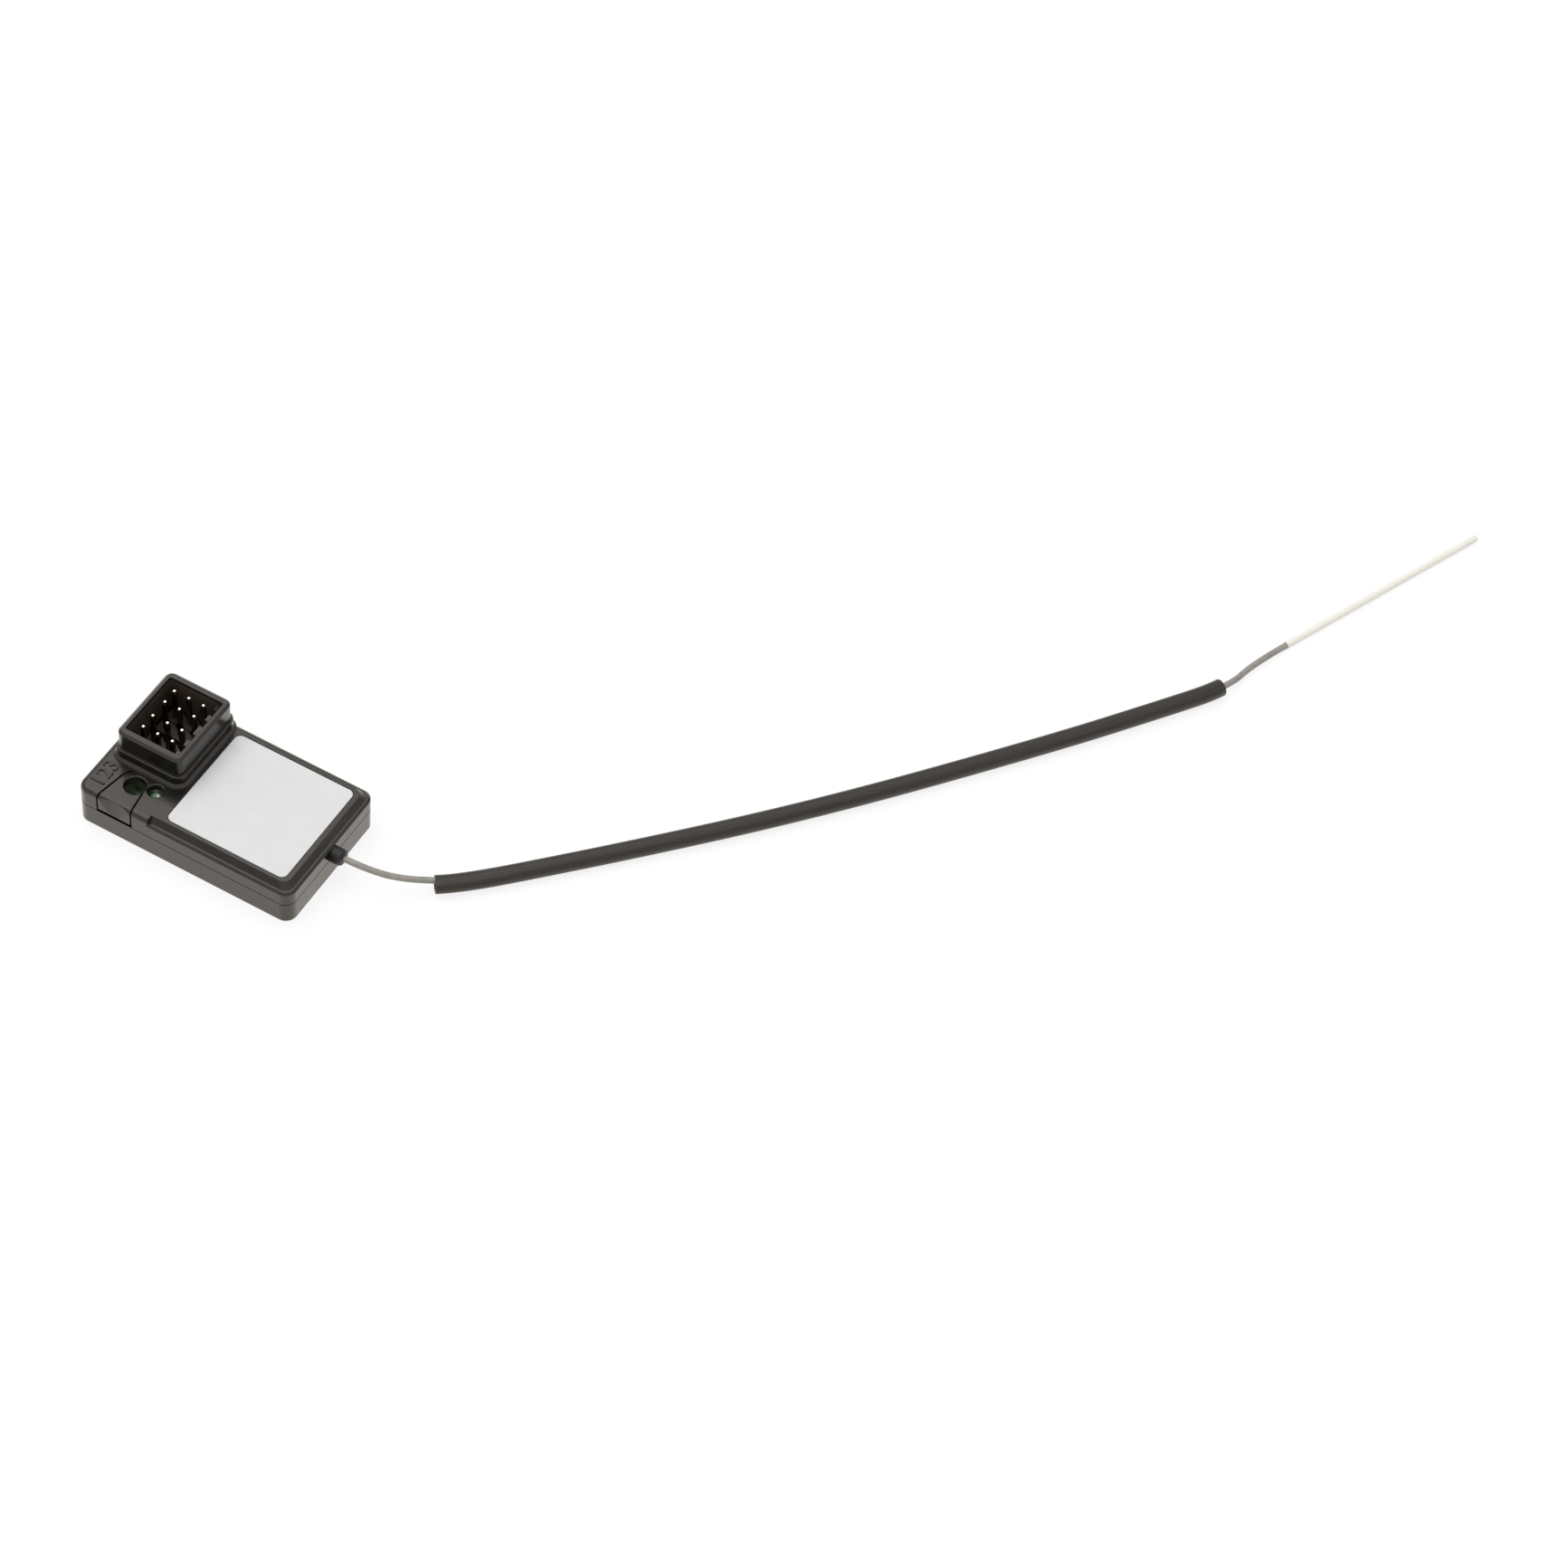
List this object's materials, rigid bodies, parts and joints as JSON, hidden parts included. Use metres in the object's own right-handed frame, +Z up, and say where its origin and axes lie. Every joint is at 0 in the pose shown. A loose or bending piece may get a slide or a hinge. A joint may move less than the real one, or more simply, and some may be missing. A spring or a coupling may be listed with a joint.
{
  "type": "radio control receiver",
  "caption": "Small flat radio control receiver: dark moulded case, shrouded servo pin socket, blank label and a thin wire antenna stiffened by a black tube.",
  "frame": {"origin": "middle of the case's flat underside", "axes": "+X along the case towards the antenna outlet, +Y across the case towards the side the antenna sweeps to, +Z up out of the deck"},
  "size_m": [0.1532, 0.1651, 0.013],
  "materials": {
    "case_plastic": "dark brown-black moulded plastic, fine spark-eroded satin",
    "label_film": "blank pale grey sticker, satin",
    "grommet_rubber": "black rubber",
    "coax_jacket": "grey extruded cable jacket",
    "sleeve_tube": "black polyolefin tube",
    "tip_tube": "cream-white tube",
    "bare_copper": "bare copper wire",
    "pin_gold": "thin gold plate",
    "header_plastic": "black header moulding",
    "board_green": "green solder mask",
    "chip_epoxy": "black moulding compound",
    "tinned_metal": "tinned steel",
    "capacitor_body": "tan ceramic",
    "lamp_body": "white lamp housing",
    "lamp_clear": "clear lens"
  },
  "bodies": {
    "root": {"bottom_shell": "case_plastic", "top_shell": "case_plastic", "label": "label_film", "antenna_grommet": "grommet_rubber", "antenna_coax": "coax_jacket", "antenna_sleeve": "sleeve_tube", "antenna_tip": "tip_tube", "radiating_wire": "bare_copper", "coax_inner_lead": "coax_jacket", "coax_inner_core": "bare_copper", "ground_clip": "tinned_metal", "circuit_board": "board_green", "microcontroller": "chip_epoxy", "radio_chip": "chip_epoxy", "crystal": "tinned_metal", "voltage_regulator": "chip_epoxy", "bulk_capacitor": "capacitor_body", "chip_capacitors": "capacitor_body", "chip_resistors": "chip_epoxy", "status_lamp_base": "lamp_body", "status_lamp_lens": "lamp_clear", "test_pads": "pin_gold", "header_strip_1": "header_plastic", "signal_pin_1": "pin_gold", "power_pin_1": "pin_gold", "ground_pin_1": "pin_gold", "header_strip_2": "header_plastic", "signal_pin_2": "pin_gold", "power_pin_2": "pin_gold", "ground_pin_2": "pin_gold", "header_strip_3": "header_plastic", "signal_pin_3": "pin_gold", "power_pin_3": "pin_gold", "ground_pin_3": "pin_gold", "header_strip_4": "header_plastic", "signal_pin_4": "pin_gold", "power_pin_4": "pin_gold", "ground_pin_4": "pin_gold"}
  },
  "joints": []
}
